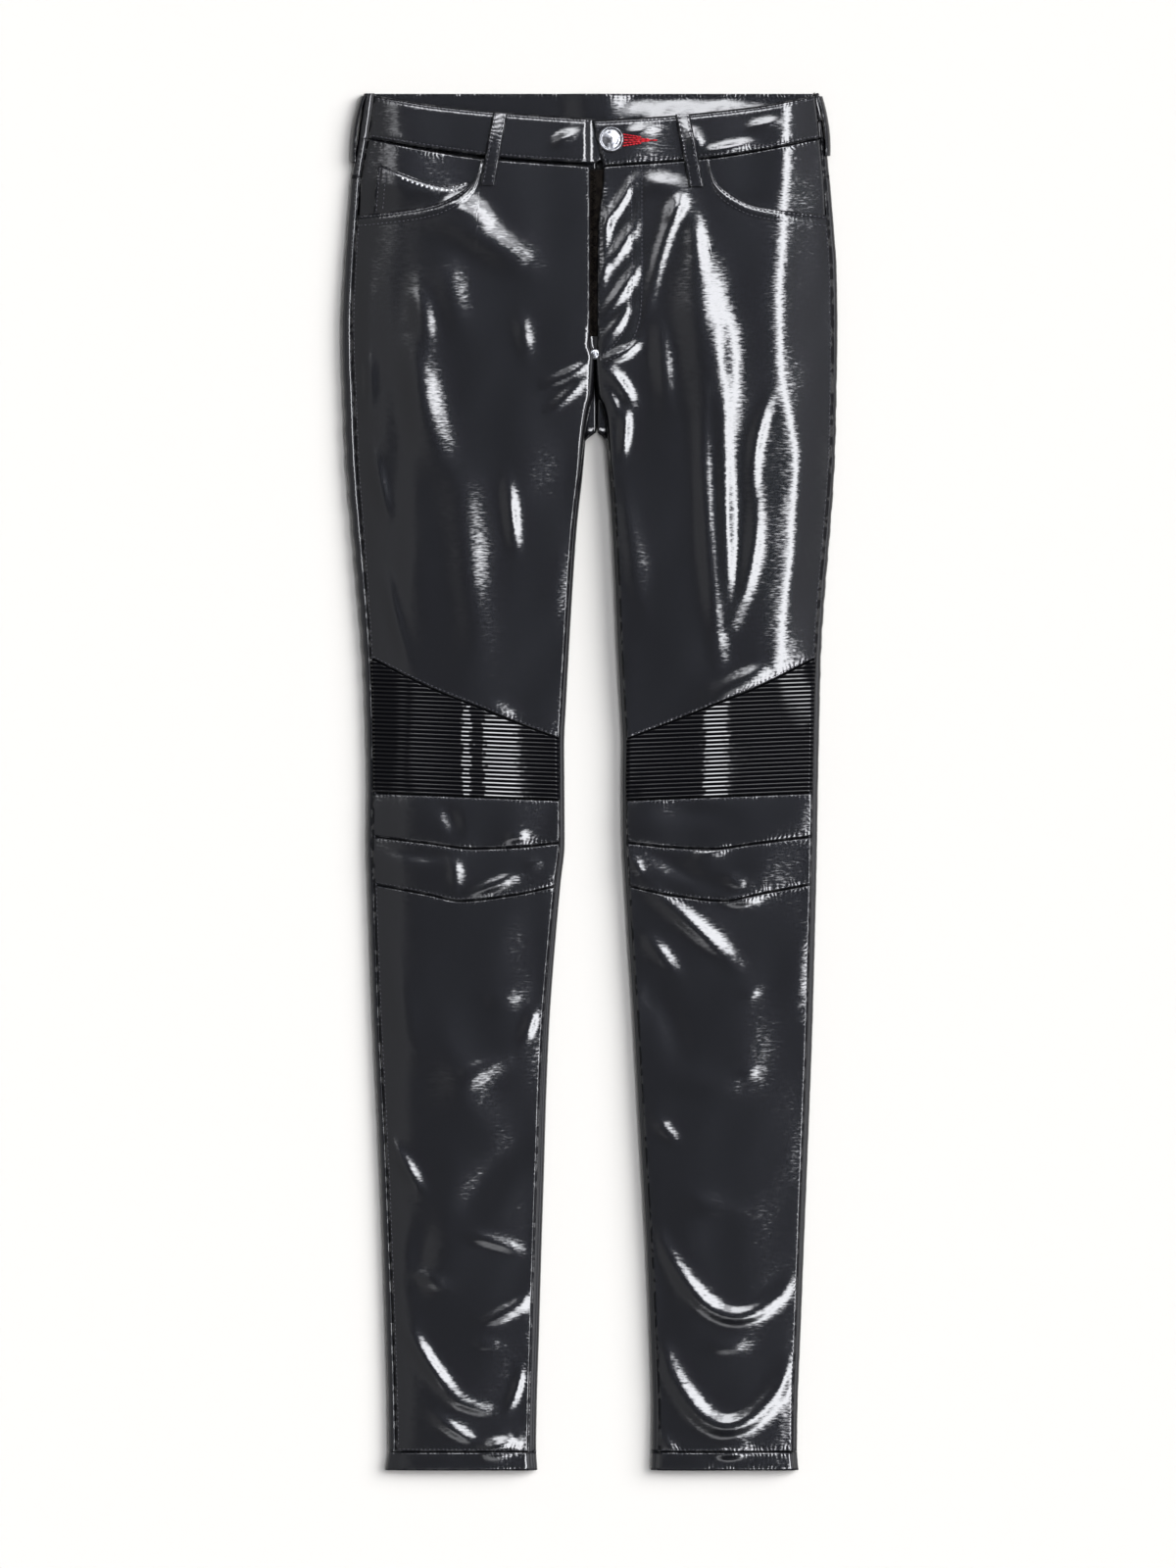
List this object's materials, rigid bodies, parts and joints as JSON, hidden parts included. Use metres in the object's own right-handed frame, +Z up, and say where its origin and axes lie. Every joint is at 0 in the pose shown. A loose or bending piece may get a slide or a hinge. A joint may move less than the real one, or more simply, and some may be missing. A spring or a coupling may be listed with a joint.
{
  "type": "leather trousers",
  "caption": "Slim high-gloss black leather trousers laid flat on their back, with ribbed knee panels, a zip fly, a shank button and belt loops.",
  "frame": {"origin": "middle of the bounding box, on the surface that the trousers lie on", "axes": "+X across the garment towards the wearer's left leg, +Y along the legs towards the waist, +Z up"},
  "size_m": [0.375, 1.04, 0.0212],
  "materials": {
    "leather": "patent, high gloss",
    "zip": "antique, darkened",
    "silver": "polished, lightly worn"
  },
  "bodies": {
    "root": {"front_thigh_left": "leather", "knee_ribs_left": "leather", "knee_band_upper_left": "leather", "knee_band_lower_left": "leather", "shin_left": "leather", "hem_left": "leather", "back_leg_left": "leather", "back_yoke_left": "leather", "pocket_facing_left": "leather", "waistband_left": "leather", "front_thigh_right": "leather", "knee_ribs_right": "leather", "knee_band_upper_right": "leather", "knee_band_lower_right": "leather", "shin_right": "leather", "hem_right": "leather", "back_leg_right": "leather", "back_yoke_right": "leather", "pocket_facing_right": "leather", "waistband_right": "leather", "coin_pocket": "leather", "waistband_back": "leather", "belt_loop_front_left": "leather", "belt_loop_front_right": "leather", "belt_loop_side_left": "leather", "belt_loop_side_right": "leather", "belt_loop_back": "leather", "fly_shield": "leather", "fly_zip": "zip", "waist_button": "silver", "fly_rivet": "silver"}
  },
  "joints": []
}
